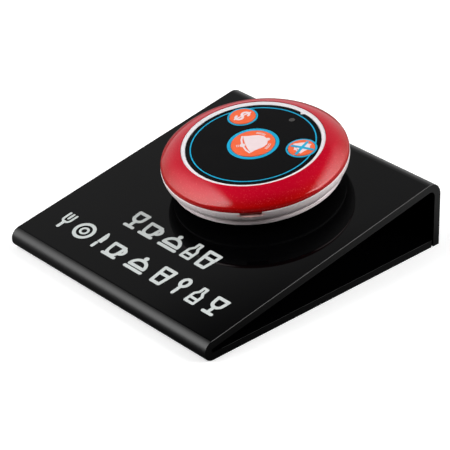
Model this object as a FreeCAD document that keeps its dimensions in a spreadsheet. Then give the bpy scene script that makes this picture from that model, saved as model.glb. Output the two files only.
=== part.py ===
import FreeCAD, Part
import math
import os
import re

import Sketcher

# Three-key wireless table call button, stuck on a slanted stand bent from one acrylic sheet.
# Model frame: X across the stand, Y from its front fold to its rear wall, Z up, with the
# origin in the middle of the footprint. The button is drawn in a seat frame of its own:
# origin where its axis meets the sloping face, Z square to that face, Y up the slope.

os.makedirs("parts", exist_ok=True)
doc = FreeCAD.newDocument("table_call_button")


# ---------------------------------------------------------------- driving sizes, mm and degrees
DRIVING = {
    # stand, one bent sheet
    "stand_width": 100,
    "stand_depth": 113,
    "sheet_thick": 3,
    "face_slope": 10.2,
    "front_bend_inside": 0.8,
    "rear_bend_inside": 2.6,
    "rear_wall_angle": 2.5,
    "flange_gap": 1,
    "edge_break": 0.06,
    # where the button sits on the sloping face
    "button_up_slope": 73.4,
    "button_across": -0.3,
    "button_turn": -2,
    "pad_inset": 3,
    "pad_thick": 1,
    # base cover, a shallow dish
    "saucer_reach": 6.9,
    "saucer_rise": 3.5,
    "saucer_round": 12,
    "base_lip_proud": 0.6,
    "base_lip_height": 1.2,
    "base_lip_round": 0.35,
    "base_wall": 1.6,
    "base_haunch": 1.3,
    "lap_inset": 2.5,
    "lap_height": 1.2,
    "lap_thick": 1.4,
    # body shell
    "part_line_gap": 0.3,
    "bowl_inset": 3.1,
    "bowl_round": 4.9,
    "bowl_rise": 4.6,
    "rim_radius": 33.4,
    "rim_edge": 0.5,
    "rim_round": 0.25,
    "rim_land": 1.75,
    "fit_gap": 0.2,
    "shoulder_wall": 1.6,
    "deck_thick": 1.6,
    "deck_depth": 0.85,
    "lip_step": 0.25,
    "lip_land": 0.5,
    "lip_width": 1.4,
    "film_thick": 0.25,
    "locating_notch": 1.1,
    # trim ring
    "ring_inset": 0.1,
    "ring_side": 0.3,
    "ring_corner": 2,
    "ring_corner_slope": 43,
    "ring_rise": 5.6,
    "ring_wall": 1.5,
    "ring_band": 7.75,
    "ring_seam": 0.2,
    "tongue_clear": 0.15,
    "tongue_thick": 1.5,
    "tongue_depth": 2.3,
    "bead_proud": 0.35,
    "bead_height": 0.75,
    # pry notch in the rim
    "notch_angle": -44.7,
    "notch_width": 7.8,
    "notch_depth": 1.5,
    "gate_rib_width": 0.45,
    "gate_rib_depth": 0.9,
    "gate_rib_proud": 0.15,
    # keys
    "call_radius": 7.8,
    "side_key_radius": 4.7,
    "key_margin": 1.45,
    "side_key_angle": 30,
    "key_clear": 0.15,
    "key_proud": 0.3,
    "key_crown": 0.15,
    "key_round": 0.2,
    "key_flange": 0.8,
    "key_flange_thick": 0.7,
    "key_play": 0.1,
    "plunger_radius": 1.75,
    "plunger_drop": 0.6,
    "key_travel": 0.5,
    # indicator light
    "window_radius": 1.05,
    "window_clear": 0.05,
    "window_flange": 0.6,
    "window_flange_thick": 0.45,
    "light_inset": 5.25,
    "led_radius": 1.5,
    "led_flange": 0.4,
    "led_flange_thick": 1,
    "led_gap": 0.3,
    # circuit board and its screws
    "board_thick": 1.6,
    "board_boss_radius": 2,
    "board_boss_inset": 4,
    "board_boss_low_angle": 8,
    "board_boss_high_angle": 62,
    "screw_shank_radius": 1,
    "screw_pilot_radius": 0.85,
    "screw_head_radius": 1.8,
    "screw_head_height": 1.1,
    "screw_length": 5,
    "base_screw_inset": 3,
    "base_screw_low_angle": 12,
    "base_boss_radius": 2.3,
    "base_boss_height": 1.6,
    "base_sink": 1.3,
    # tactile switches
    "switch_width": 6,
    "switch_base_height": 3.1,
    "switch_cover_thick": 0.4,
    "switch_well_depth": 1.8,
    "switch_pin_width": 0.7,
    "switch_pin_thick": 0.3,
    "switch_pin_pitch": 4.5,
    "stem_radius": 1.75,
    "stem_stand": 0.8,
    "stem_clear": 0.15,
    # battery, type 23A, and its clips
    "battery_radius": 5.15,
    "battery_length": 28.5,
    "battery_nub_radius": 2.6,
    "battery_nub_length": 0.9,
    "battery_inset": 11.4,
    "battery_shift": 0.6,
    "battery_play": 0.25,
    "cradle_thick": 1.2,
    "cradle_reach": 8,
    "cradle_half_width": 4.2,
    "cradle_rise": 2.2,
    "clip_thick": 0.4,
    "clip_width": 7,
    "clip_rise": 2.6,
    "clip_foot": 1.7,
    "clip_dimple": 0.6,
    "clip_leaf": 1.8,
    # radio parts on the board
    "chip_length": 8.65,
    "chip_width": 3.9,
    "chip_height": 1.5,
    "chip_up": 10.3,
    "chip_pitch": 1.27,
    "chip_leg": 1,
    "chip_lift": 0.15,
    "leg_width": 0.42,
    "leg_height": 0.5,
    "can_radius": 4.1,
    "can_height": 3.2,
    "can_flange": 0.5,
    "can_inset": 11.9,
    "transistor_across": 12.6,
    "transistor_up": -3.4,
    "transistor_length": 2.9,
    "transistor_width": 1.3,
    "transistor_height": 0.95,
    "transistor_leg": 0.5,
    "transistor_pitch": 0.95,
    "small_length": 2,
    "small_width": 1.25,
    "resistor_height": 0.5,
    "capacitor_height": 0.9,
    "wire_radius": 0.45,
    "loop_stand": 2.4,
    "loop_start_angle": -2,
    "loop_end_angle": 78,
}

# ---------------------------------------------------------------- levels and radii that follow
FOLLOWING = {
    "front_bend": "front_bend_inside + sheet_thick",
    "rear_bend": "rear_bend_inside + sheet_thick",
    "face_start": "front_bend * (1 + 1 / cos(face_slope) - tan(face_slope))",
    # centre of the rear bend, one bend radius in from the face's line and from the wall's
    "face_inset": "face_start * cos(face_slope) - rear_bend",
    "wall_inset": "stand_depth * cos(rear_wall_angle) - rear_bend",
    "rear_bend_run": "(wall_inset * cos(face_slope) - face_inset * sin(rear_wall_angle))"
                     " / cos(face_slope - rear_wall_angle)",
    "rear_bend_level": "(wall_inset * sin(face_slope) + face_inset * cos(rear_wall_angle))"
                       " / cos(face_slope - rear_wall_angle)",
    "flange_end": "stand_depth - sheet_thick - flange_gap",
    "seat_y": "button_up_slope * cos(face_slope) - stand_depth / 2",
    "seat_z": "face_start + button_up_slope * sin(face_slope)",
    # heights over the sloping face, from the pad upwards
    "lip_low": "pad_thick + saucer_rise",
    "lip_top": "lip_low + base_lip_height",
    "base_floor": "pad_thick + base_wall",
    "lap_top": "lip_top + lap_height",
    "shell_low": "lip_top + part_line_gap",
    "rim_level": "shell_low + bowl_rise",
    "rim_top": "rim_level + rim_edge",
    "ring_low": "rim_top + ring_seam",
    "ring_top": "ring_low + ring_rise",
    "deck_top": "ring_top - deck_depth",
    "deck_low": "deck_top - deck_thick",
    "film_top": "deck_top + film_thick",
    "tongue_low": "ring_low - tongue_depth",
    "channel_floor": "tongue_low - fit_gap",
    "notch_floor": "rim_top - notch_depth",
    "flange_top": "deck_low - key_play",
    "flange_low": "flange_top - key_flange_thick",
    "plunger_low": "flange_low - plunger_drop",
    "switch_top": "plunger_low - stem_stand",
    "board_top": "switch_top - switch_cover_thick - switch_base_height",
    "board_low": "board_top - board_thick",
    "base_boss_top": "base_floor + base_boss_height",
    "battery_level": "base_floor + battery_play + battery_radius",
    # radii across the housing, all from the rim inwards
    "bowl_radius": "rim_radius - bowl_inset",
    "base_lip_radius": "bowl_radius + base_lip_proud",
    "lap_radius": "base_lip_radius - lap_inset",
    "foot_radius": "base_lip_radius - saucer_reach",
    "pad_radius": "foot_radius - pad_inset",
    "ring_radius": "rim_radius - ring_inset",
    "ring_inner_radius": "ring_radius - ring_band",
    "rim_inner": "rim_radius - rim_land",
    "tongue_radius": "rim_inner - tongue_clear",
    "shoulder_radius": "tongue_radius - tongue_thick - fit_gap",
    "cavity_radius": "shoulder_radius - shoulder_wall",
    "lap_bore": "lap_radius + fit_gap",
    "tab_apex": "film_bore - locating_notch",
    "film_notch_apex": "tab_apex - fit_gap * sqrt(2)",
    "lip_outer": "ring_inner_radius - fit_gap / 2",
    "deck_bore": "lip_outer - fit_gap",
    "film_bore": "lip_outer - lip_width",
    "film_radius": "film_bore - fit_gap",
    "side_key_reach": "film_radius - key_margin - side_key_radius",
    "light_reach": "film_radius - light_inset",
    # dome of the ring: it leaves the corner arc at ring_corner_slope and ends on the inner edge
    "corner_end_r": "ring_radius - ring_corner * (1 - sin(ring_corner_slope))",
    "corner_end_z": "ring_low + ring_side + ring_corner * cos(ring_corner_slope)",
    "dome_run": "corner_end_r - ring_inner_radius",
    "dome_climb": "ring_top - corner_end_z",
    "dome_round": "sqrt(dome_run ^ 2 + dome_climb ^ 2)"
                  " / (2 * sin(ring_corner_slope * 1 deg - atan(dome_climb / dome_run)))",
    "dome_centre_r": "corner_end_r - dome_round * sin(ring_corner_slope)",
    "dome_centre_z": "corner_end_z - dome_round * cos(ring_corner_slope)",
    "under_round": "dome_round - ring_wall",
    "tongue_inner": "tongue_radius - tongue_thick",
    "under_inner_z": "dome_centre_z + sqrt(under_round ^ 2 - (ring_inner_radius - dome_centre_r) ^ 2)",
    "under_outer_z": "dome_centre_z + sqrt(under_round ^ 2 - (tongue_inner - dome_centre_r) ^ 2)",
    "shoulder_level": "under_outer_z - fit_gap",
    "crown_level": "under_inner_z - fit_gap",
    # along the battery
    "plus_face": "battery_shift + battery_length / 2",
    "minus_face": "battery_shift - battery_length / 2",
    "plus_plate": "plus_face + clip_dimple",
    "minus_plate": "minus_face - clip_leaf",
    "bay_half_width": "battery_radius + 2 * battery_play",
    # round the board
    "base_boss_bore": "base_boss_radius + 2 * fit_gap",
    "board_radius": "lap_radius - lap_thick - 3 * fit_gap",
    "battery_below": "board_radius - battery_inset",
    "bay_top": "bay_half_width - battery_below",
    "can_across": "can_inset - board_radius",
    "can_up": "bay_top + can_radius + can_flange + fit_gap",
    "board_boss_reach": "board_radius - board_boss_inset",
    "base_screw_reach": "board_radius - base_screw_inset",
    "loop_radius": "board_boss_reach + board_boss_radius + wire_radius + 2 * fit_gap",
}


def sized(rule, owner):
    """Turn a rule in plain size names into an expression that names each size's sheet."""
    return re.sub(r"[a-z][a-z_]*", lambda word: owner.get(word[0], "") + word[0], rule)


def filled_sheet(name, rows, owner=None):
    """A spreadsheet with a name and a value, or a formula, on each row."""
    sheet = doc.addObject("Spreadsheet::Sheet", name)
    for row, (alias, content) in enumerate(rows.items(), 1):
        sheet.set(f"A{row}", alias)
        sheet.set(f"B{row}", str(content) if owner is None else "=" + sized(content, owner))
        sheet.setAlias(f"B{row}", alias)
    return sheet


sizes = filled_sheet("Sizes", DRIVING)
follow = filled_sheet("Follow", FOLLOWING, {alias: "Sizes." for alias in DRIVING})
doc.recompute()
OWNER = {alias: "Sizes." for alias in DRIVING} | {alias: "Follow." for alias in FOLLOWING}

SEAT = ("placement(vector(button_across; seat_y; seat_z); rotation(vector(1; 0; 0); face_slope))"
        " * placement(vector(0; 0; 0); rotation(vector(0; 0; 1); button_turn))")


# ---------------------------------------------------------------- helpers
def bind(thing, prop, rule):
    thing.setExpression(prop, sized(rule, OWNER))


def value(rule):
    result = sizes.evalExpression(sized(rule, OWNER))
    return float(getattr(result, "Value", result))


def at(across, up, level, turn="0"):
    """A placement rule in the seat frame, turned about the button's axis direction."""
    return f"placement(vector({across}; {up}; {level}); rotation(vector(0; 0; 1); {turn}))"


def seated(node, place=None):
    """Bind a finished sub-part to the button's seat on the sloping face."""
    bind(node, "Placement", SEAT if place is None else SEAT + " * " + place)
    return node


def new_body(label):
    body = doc.addObject("PartDesign::Body", label)
    body.Label = label
    return body


def new_sketch(body, role, name, level=None):
    """A sketch on one of the body's own origin planes, lifted to a level where one is given."""
    sketch = body.newObject("Sketcher::SketchObject", name)
    plane = [item for item in body.Origin.OriginFeatures if item.Role == role][0]
    sketch.AttachmentSupport = [(plane, "")]
    sketch.MapMode = "FlatFace"
    if level is not None:
        bind(sketch, "AttachmentOffset.Base.z", level)
    return sketch


def turned_sketch(body, name, level, angle):
    """A sketch parallel to the body's XY plane, at a level and turned about the Z axis."""
    sketch = new_sketch(body, "XY_Plane", name)
    bind(sketch, "AttachmentOffset", at("0", "0", level, angle))
    return sketch


def hold(sketch, kind, element, point, rule):
    """Fix one coordinate of a sketch point, measured from the origin, to a rule."""
    sketch.addConstraint(Sketcher.Constraint(kind, -1, 1, element, point, value(rule)))
    bind(sketch, f"Constraints[{sketch.ConstraintCount - 1}]", rule)


def draw_outline(sketch, corners, arcs=None):
    """A closed outline through corners given as rules. arcs maps a side's index to its radius
    rule and to +1 where the side turns left or -1 where it turns right."""
    arcs = arcs or {}
    spots = [FreeCAD.Vector(value(x), value(y), 0) for x, y in corners]
    ends = []
    for side, start in enumerate(spots):
        finish = spots[(side + 1) % len(spots)]
        if side not in arcs:
            ends.append((sketch.addGeometry(Part.LineSegment(start, finish)), 1, 2))
            continue
        radius, turn = value(arcs[side][0]), arcs[side][1]
        chord = finish - start
        square = FreeCAD.Vector(-chord.y, chord.x, 0).normalize() * turn
        drop = math.sqrt(max(radius ** 2 - (chord.Length / 2) ** 2, 0))
        centre = start + chord / 2 + square * drop
        first, last = (start, finish) if turn > 0 else (finish, start)
        angles = [math.atan2(p.y - centre.y, p.x - centre.x) for p in (first, last)]
        circle = Part.Circle(centre, FreeCAD.Vector(0, 0, 1), radius)
        element = sketch.addGeometry(Part.ArcOfCircle(circle, angles[0], angles[1]))
        ends.append((element, 1, 2) if turn > 0 else (element, 2, 1))
    for side, (element, _, tail) in enumerate(ends):
        following, head, _ = ends[(side + 1) % len(ends)]
        sketch.addConstraint(Sketcher.Constraint("Coincident", element, tail, following, head))
    for (element, head, _), (x, y) in zip(ends, corners):
        hold(sketch, "DistanceX", element, head, x)
        hold(sketch, "DistanceY", element, head, y)
    for side, (radius, _) in arcs.items():
        element = ends[side][0]
        sketch.addConstraint(Sketcher.Constraint("Radius", element, value(radius)))
        bind(sketch, f"Constraints[{sketch.ConstraintCount - 1}]", radius)
    return sketch


def draw_circles(sketch, circles):
    """Circles given as rules for centre and radius."""
    for x, y, radius in circles:
        centre = FreeCAD.Vector(value(x), value(y), 0)
        circle = Part.Circle(centre, FreeCAD.Vector(0, 0, 1), value(radius))
        element = sketch.addGeometry(circle)
        hold(sketch, "DistanceX", element, 3, x)
        hold(sketch, "DistanceY", element, 3, y)
        sketch.addConstraint(Sketcher.Constraint("Radius", element, value(radius)))
        bind(sketch, f"Constraints[{sketch.ConstraintCount - 1}]", radius)
    return sketch


def box_corners(left, low, right, high):
    return [(left, low), (right, low), (right, high), (left, high)]


def revolved(body, corners, arcs=None, name="profile"):
    """Turn an outline drawn in radius and height about the body's Z axis."""
    sketch = draw_outline(new_sketch(body, "XZ_Plane", name), corners, arcs)
    feature = body.newObject("PartDesign::Revolution", name + "_turned")
    feature.Profile = sketch
    feature.ReferenceAxis = (sketch, ["V_Axis"])
    feature.Angle = 360
    sketch.Visibility = False
    doc.recompute()
    return feature


def padded(body, sketch, length, middle=False):
    feature = body.newObject("PartDesign::Pad", sketch.Name + "_pad")
    feature.Profile = sketch
    bind(feature, "Length", length)
    feature.Midplane = middle
    doc.recompute()
    return feature


def pocketed(body, sketch, length, upwards=False, middle=False):
    """Cut a sketch into the body, and refuse a cut that takes nothing away."""
    before = body.Shape.Volume
    feature = body.newObject("PartDesign::Pocket", sketch.Name + "_cut")
    feature.Profile = sketch
    bind(feature, "Length", length)
    feature.Reversed = upwards
    feature.Midplane = middle
    doc.recompute()
    if not body.Shape.Volume < before:
        raise RuntimeError(sketch.Name + " cuts nothing")
    return feature


def primitive(kind, name, place, **rules):
    solid = doc.addObject("Part::" + kind, name)
    for prop, rule in rules.items():
        bind(solid, prop, rule)
    bind(solid, "Placement", place)
    return solid


def upright_box(name, across, up, level, width, depth, height, turn="0"):
    """A box centred on a spot of the seat frame, standing on a level."""
    place = at(across, up, level, turn) + f" * placement(vector(-({width}) / 2; -({depth}) / 2; 0);"
    place += " rotation(vector(0; 0; 1); 0))"
    return primitive("Box", name, place, Length=width, Width=depth, Height=height)


def joined(label, pieces):
    node = doc.addObject("Part::MultiFuse", label)
    node.Shapes = pieces
    node.Label = label
    return node


def grouped(label, pieces):
    node = doc.addObject("Part::Compound", label)
    node.Links = pieces
    node.Label = label
    return node


def cut_from(label, base, tool):
    node = doc.addObject("Part::Cut", label)
    node.Base = base
    node.Tool = tool
    node.Label = label
    return node


KEYS = {
    "call": ("call_radius", "0", "0"),
    "bill": ("side_key_radius", "-side_key_reach * cos(side_key_angle)",
             "side_key_reach * sin(side_key_angle)"),
    "cancel": ("side_key_radius", "side_key_reach * cos(side_key_angle)",
               "side_key_reach * sin(side_key_angle)"),
}
BASE_SCREW_ANGLES = ("90", "-base_screw_low_angle", "180 + base_screw_low_angle")
base_screw_spots = [(f"base_screw_reach * cos({angle})", f"base_screw_reach * sin({angle})")
                    for angle in BASE_SCREW_ANGLES]
board_screw_spots = [(f"{side} * board_boss_reach * cos({angle})", f"board_boss_reach * sin({angle})")
                     for angle in ("board_boss_low_angle", "board_boss_high_angle")
                     for side in ("1", "-1")]


# ---------------------------------------------------------------- stand
def broken_edges(body, sheet, corners):
    """Scrape the arrises of both cut ends that run from one of these corners to the next."""
    ends = value("stand_width") / 2
    spots = [(round(value(run), 4), round(value(level), 4)) for run, level in corners]

    def in_spots(vertex):
        return abs(abs(vertex.X) - ends) < 1e-4 and (round(vertex.Y, 4), round(vertex.Z, 4)) in spots

    edges = [f"Edge{number}" for number, edge in enumerate(sheet.Shape.Edges, 1)
             if all(in_spots(vertex) for vertex in edge.Vertexes)
             and edge.Vertexes[0].X * edge.Vertexes[-1].X > 0]
    chamfer = body.newObject("PartDesign::Chamfer", "scraped_edges")
    chamfer.Base = (sheet, edges)
    bind(chamfer, "Size", "edge_break")


def acrylic_stand():
    """One sheet in side view: flange on the table, front fold, sloping face, rear wall."""
    body = new_body("acrylic_stand")
    corners = [
        ("flange_end", "0"),
        ("front_bend", "0"),
        ("front_bend * (1 - sin(face_slope))", "front_bend * (1 + cos(face_slope))"),
        ("rear_bend_run - rear_bend * sin(face_slope)", "rear_bend_level + rear_bend * cos(face_slope)"),
        ("rear_bend_run + rear_bend * cos(rear_wall_angle)",
         "rear_bend_level + rear_bend * sin(rear_wall_angle)"),
        ("stand_depth", "0"),
        ("stand_depth - sheet_thick / cos(rear_wall_angle)", "0"),
        ("rear_bend_run + rear_bend_inside * cos(rear_wall_angle)",
         "rear_bend_level + rear_bend_inside * sin(rear_wall_angle)"),
        ("rear_bend_run - rear_bend_inside * sin(face_slope)",
         "rear_bend_level + rear_bend_inside * cos(face_slope)"),
        ("front_bend - front_bend_inside * sin(face_slope)",
         "front_bend + front_bend_inside * cos(face_slope)"),
        ("front_bend", "sheet_thick"),
        ("flange_end", "sheet_thick"),
    ]
    arcs = {1: ("front_bend", -1), 3: ("rear_bend", -1),
            7: ("rear_bend_inside", 1), 9: ("front_bend_inside", 1)}
    sketch = draw_outline(new_sketch(body, "YZ_Plane", "side_view"), corners, arcs)
    sheet = padded(body, sketch, "stand_width", middle=True)
    broken_edges(body, sheet, corners[:6])
    bind(body, "Placement", "placement(vector(0; -stand_depth / 2; 0); rotation(vector(0; 0; 1); 0))")
    return body


# ---------------------------------------------------------------- housing
def mounting_pad():
    """Double-sided foam disc."""
    pad = primitive("Cylinder", "mounting_pad", SEAT, Radius="pad_radius", Height="pad_thick")
    return pad


def base_cover():
    """Shallow dish with a lap joint, three sunk screw bosses and two battery cradles."""
    body = new_body("base_cover")
    corners = [
        ("0", "pad_thick"),
        ("foot_radius", "pad_thick"),
        ("base_lip_radius", "lip_low"),
        ("base_lip_radius", "lip_top - base_lip_round"),
        ("base_lip_radius - base_lip_round", "lip_top"),
        ("lap_radius", "lip_top"),
        ("lap_radius", "lap_top"),
        ("lap_radius - lap_thick", "lap_top"),
        ("lap_radius - lap_thick", "base_floor + base_haunch"),
        ("foot_radius", "base_floor"),
        ("0", "base_floor"),
    ]
    arcs = {1: ("saucer_round", 1), 3: ("base_lip_round", 1)}
    revolved(body, corners, arcs, "dish")
    bosses = new_sketch(body, "XY_Plane", "screw_boss", "base_floor")
    draw_circles(bosses, [(x, y, "base_boss_radius") for x, y in base_screw_spots])
    padded(body, bosses, "base_boss_height")
    sinks = new_sketch(body, "XY_Plane", "screw_sink", "pad_thick")
    draw_circles(sinks, [(x, y, "screw_head_radius + fit_gap") for x, y in base_screw_spots])
    pocketed(body, sinks, "base_sink", upwards=True)
    holes = new_sketch(body, "XY_Plane", "screw_hole", "base_boss_top")
    draw_circles(holes, [(x, y, "screw_shank_radius + fit_gap") for x, y in base_screw_spots])
    pocketed(body, holes, "base_boss_top - pad_thick")
    for side, name in (("-1", "left_cradle"), ("1", "right_cradle")):
        middle = f"battery_shift + {side} * cradle_reach"
        rib = new_sketch(body, "XY_Plane", name, "base_floor")
        draw_outline(rib, box_corners(f"{middle} - cradle_thick / 2", "-battery_below - cradle_half_width",
                                      f"{middle} + cradle_thick / 2", "-battery_below + cradle_half_width"))
        padded(body, rib, "cradle_rise")
    bed = new_sketch(body, "YZ_Plane", "battery_bed")
    draw_circles(bed, [("-battery_below", "battery_level", "battery_radius + battery_play / 2")])
    pocketed(body, bed, "2 * (battery_shift + cradle_reach + cradle_thick)", middle=True)
    return seated(body)


def body_shell():
    """Main moulding: bowl band, rim with its clip channel, shoulder, keypad lip and deck."""
    body = new_body("body_shell")
    corners = [
        ("lap_bore", "shell_low"),
        ("bowl_radius", "shell_low"),
        ("rim_radius", "rim_level"),
        ("rim_radius", "rim_top - rim_round"),
        ("rim_radius - rim_round", "rim_top"),
        ("rim_inner", "rim_top"),
        ("rim_inner", "tongue_low + bead_height + fit_gap"),
        ("rim_inner + bead_proud", "tongue_low + bead_height + fit_gap"),
        ("rim_inner + bead_proud", "channel_floor"),
        ("shoulder_radius", "channel_floor"),
        ("shoulder_radius", "shoulder_level"),
        ("lip_outer", "crown_level"),
        ("lip_outer", "ring_top - lip_step"),
        ("lip_outer - lip_land", "ring_top - lip_step"),
        ("film_bore", "film_top"),
        ("film_bore", "deck_top"),
        ("0", "deck_top"),
        ("0", "deck_low"),
        ("deck_bore", "deck_low"),
        ("cavity_radius", "shoulder_level - shoulder_wall / 2"),
        ("cavity_radius", "lap_top + fit_gap"),
        ("lap_bore", "lap_top + fit_gap"),
    ]
    arcs = {1: ("bowl_round", 1), 3: ("rim_round", 1)}
    revolved(body, corners, arcs, "shell")
    openings = [(across, up, f"{radius} + key_clear") for radius, across, up in KEYS.values()]
    openings.append(("0", "light_reach", "window_radius + window_clear"))
    keyholes = draw_circles(new_sketch(body, "XY_Plane", "keyholes", "deck_top"), openings)
    pocketed(body, keyholes, "deck_thick")
    tab = new_sketch(body, "XY_Plane", "locating_tab", "deck_top")
    draw_outline(tab, [("0", "tab_apex"), ("locating_notch", "film_bore"),
                       ("-locating_notch", "film_bore")])
    padded(body, tab, "film_thick")
    bosses = new_sketch(body, "XY_Plane", "board_boss", "board_top")
    draw_circles(bosses, [(x, y, "board_boss_radius") for x, y in board_screw_spots])
    padded(body, bosses, "deck_low - board_top")
    pilots = new_sketch(body, "XY_Plane", "board_pilot", "board_top")
    draw_circles(pilots, [(x, y, "screw_pilot_radius") for x, y in board_screw_spots])
    pocketed(body, pilots, "screw_length", upwards=True)
    columns = new_sketch(body, "XY_Plane", "base_column", "base_boss_top")
    draw_circles(columns, [(x, y, "base_boss_radius") for x, y in base_screw_spots])
    padded(body, columns, "deck_low - base_boss_top")
    bores = new_sketch(body, "XY_Plane", "base_pilot", "base_boss_top")
    draw_circles(bores, [(x, y, "screw_pilot_radius") for x, y in base_screw_spots])
    pocketed(body, bores, "screw_length", upwards=True)
    pry_notch(body)
    return seated(body)


def pry_notch(body):
    """Slot through the rim where a coin lifts the ring, with the gate rib under it."""
    slot = turned_sketch(body, "pry_notch", "rim_top", "notch_angle")
    draw_outline(slot, box_corners("shoulder_radius + fit_gap", "-notch_width / 2",
                                   "rim_radius + notch_width", "notch_width / 2"))
    pocketed(body, slot, "notch_depth")
    rib = turned_sketch(body, "gate_rib", "notch_floor", "notch_angle")
    draw_outline(rib, box_corners("rim_inner + bead_proud", "-gate_rib_width / 2",
                                  "rim_radius + gate_rib_proud", "gate_rib_width / 2"))
    feature = padded(body, rib, "gate_rib_depth")
    feature.Reversed = True
    doc.recompute()


def trim_ring():
    """Domed snap-on ring with a beaded tongue that clips into the body shell's channel."""
    body = new_body("trim_ring")
    corners = [
        ("tongue_inner", "tongue_low"),
        ("tongue_radius", "tongue_low"),
        ("tongue_radius + bead_proud - fit_gap", "tongue_low + bead_height / 2"),
        ("tongue_radius", "tongue_low + bead_height"),
        ("tongue_radius", "ring_low"),
        ("ring_radius", "ring_low"),
        ("ring_radius", "ring_low + ring_side"),
        ("corner_end_r", "corner_end_z"),
        ("ring_inner_radius", "ring_top"),
        ("ring_inner_radius", "under_inner_z"),
        ("tongue_inner", "under_outer_z"),
    ]
    arcs = {6: ("ring_corner", 1), 7: ("dome_round", 1), 9: ("under_round", -1)}
    revolved(body, corners, arcs, "dome")
    return seated(body)


def membrane_overlay():
    """Printed film with key openings, a light opening and a V notch over the shell's tab."""
    body = new_body("membrane_overlay")
    film = new_sketch(body, "XY_Plane", "film", "deck_top")
    circles = [("0", "0", "film_radius")]
    circles += [(across, up, f"{radius} + key_clear") for radius, across, up in KEYS.values()]
    circles.append(("0", "light_reach", "window_radius + window_clear"))
    padded(body, draw_circles(film, circles), "film_thick")
    notch = new_sketch(body, "XY_Plane", "v_notch", "film_top")
    draw_outline(notch, [("0", "film_notch_apex"),
                         ("2 * locating_notch", "film_notch_apex + 2 * locating_notch"),
                         ("-2 * locating_notch", "film_notch_apex + 2 * locating_notch")])
    pocketed(body, notch, "film_thick")
    return seated(body)


def light_window():
    """Clear plug held from below by its flange."""
    window = "window_radius"
    body = new_body("light_window")
    corners = [
        ("0", "deck_low - window_flange_thick"),
        (f"{window} + window_flange", "deck_low - window_flange_thick"),
        (f"{window} + window_flange", "deck_low"),
        (window, "deck_low"),
        (window, "film_top"),
        ("0", "film_top"),
    ]
    revolved(body, corners, name="plug")
    return seated(body, at("0", "light_reach", "0"))


# ---------------------------------------------------------------- keys
def key_cap(name):
    """Crowned cap that shows through the film, a flange under the deck and a plunger."""
    radius, across, up = KEYS[name]
    body = new_body(name + "_key")
    edge = "film_top + key_proud"
    corners = [
        ("0", "plunger_low"),
        ("plunger_radius", "plunger_low"),
        ("plunger_radius", "flange_low"),
        (f"{radius} + key_flange", "flange_low"),
        (f"{radius} + key_flange", "flange_top"),
        (radius, "flange_top"),
        (radius, f"{edge} - key_round"),
        (f"{radius} - key_round", edge),
        ("0", f"{edge} + key_crown"),
    ]
    crown_span = f"({radius} - key_round)"
    crown_round = f"({crown_span} ^ 2 + key_crown ^ 2) / (2 * key_crown)"
    arcs = {6: ("key_round", 1), 7: (crown_round, 1)}
    revolved(body, corners, arcs, name + "_cap")
    return seated(body, at(across, up, "0"))


# ---------------------------------------------------------------- switches
def switch_base(name):
    """Moulded switch body with the round well its stem runs in."""
    _, across, up = KEYS[name]
    block = upright_box(name + "_block", across, up, "board_top", "switch_width", "switch_width",
                        "switch_base_height")
    well = primitive("Cylinder", name + "_well",
                     at(across, up, "board_top + switch_base_height - switch_well_depth"),
                     Radius="stem_radius + 2 * stem_clear", Height="switch_well_depth")
    return seated(cut_from(name + "_switch_base", block, well))


def switch_cover(name):
    """Pressed steel plate with the stem hole."""
    _, across, up = KEYS[name]
    level = "board_top + switch_base_height"
    plate = upright_box(name + "_plate", across, up, level, "switch_width", "switch_width",
                        "switch_cover_thick")
    hole = primitive("Cylinder", name + "_stem_hole", at(across, up, level),
                     Radius="stem_radius + stem_clear", Height="switch_cover_thick")
    return seated(cut_from(name + "_switch_cover", plate, hole))


def switch_stem(name):
    """Round actuator that the key's plunger pushes."""
    _, across, up = KEYS[name]
    height = "stem_stand + switch_cover_thick + switch_well_depth - key_travel - stem_clear"
    return primitive("Cylinder", name + "_switch_stem",
                     SEAT + " * " + at(across, up, f"plunger_low - ({height})"),
                     Radius="stem_radius", Height=height)


def switch_pins():
    """Four solder pins on each switch, close along its sides and through the board."""
    pins = []
    for name, (_, across, up) in KEYS.items():
        for x_side in (-1, 1):
            for y_side in (-1, 1):
                pin = upright_box(
                    f"{name}_pin_{len(pins)}",
                    f"{across} + {x_side} * (switch_width + switch_pin_thick) / 2",
                    f"{up} + {y_side} * switch_pin_pitch / 2", "board_top",
                    "switch_pin_thick", "switch_pin_width", "switch_base_height / 2")
                pins.append(pin)
    return seated(grouped("switch_pins", pins))


# ---------------------------------------------------------------- board
def circuit_board():
    """Round board with an open battery bay, three notches for columns and four screw holes."""
    body = new_body("circuit_board")
    disc = new_sketch(body, "XY_Plane", "disc", "board_low")
    holes = [("0", "0", "board_radius")]
    holes += [(x, y, "screw_shank_radius + fit_gap") for x, y in board_screw_spots]
    padded(body, draw_circles(disc, holes), "board_thick")
    rounds = new_sketch(body, "XY_Plane", "column_round", "board_top")
    draw_circles(rounds, [(x, y, "base_boss_bore") for x, y in base_screw_spots])
    pocketed(body, rounds, "board_thick")
    for number, angle in enumerate(BASE_SCREW_ANGLES):
        mouth = turned_sketch(body, f"column_mouth_{number}", "board_top", angle)
        draw_outline(mouth, box_corners("base_screw_reach", "-base_boss_bore",
                                        "board_radius + base_boss_bore", "base_boss_bore"))
        pocketed(body, mouth, "board_thick")
    bay = new_sketch(body, "XY_Plane", "battery_bay", "board_top")
    draw_outline(bay, box_corners("minus_plate - clip_thick", "-board_radius - fit_gap",
                                  "plus_plate + clip_thick", "bay_top"))
    pocketed(body, bay, "board_thick")
    return seated(body)


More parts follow.
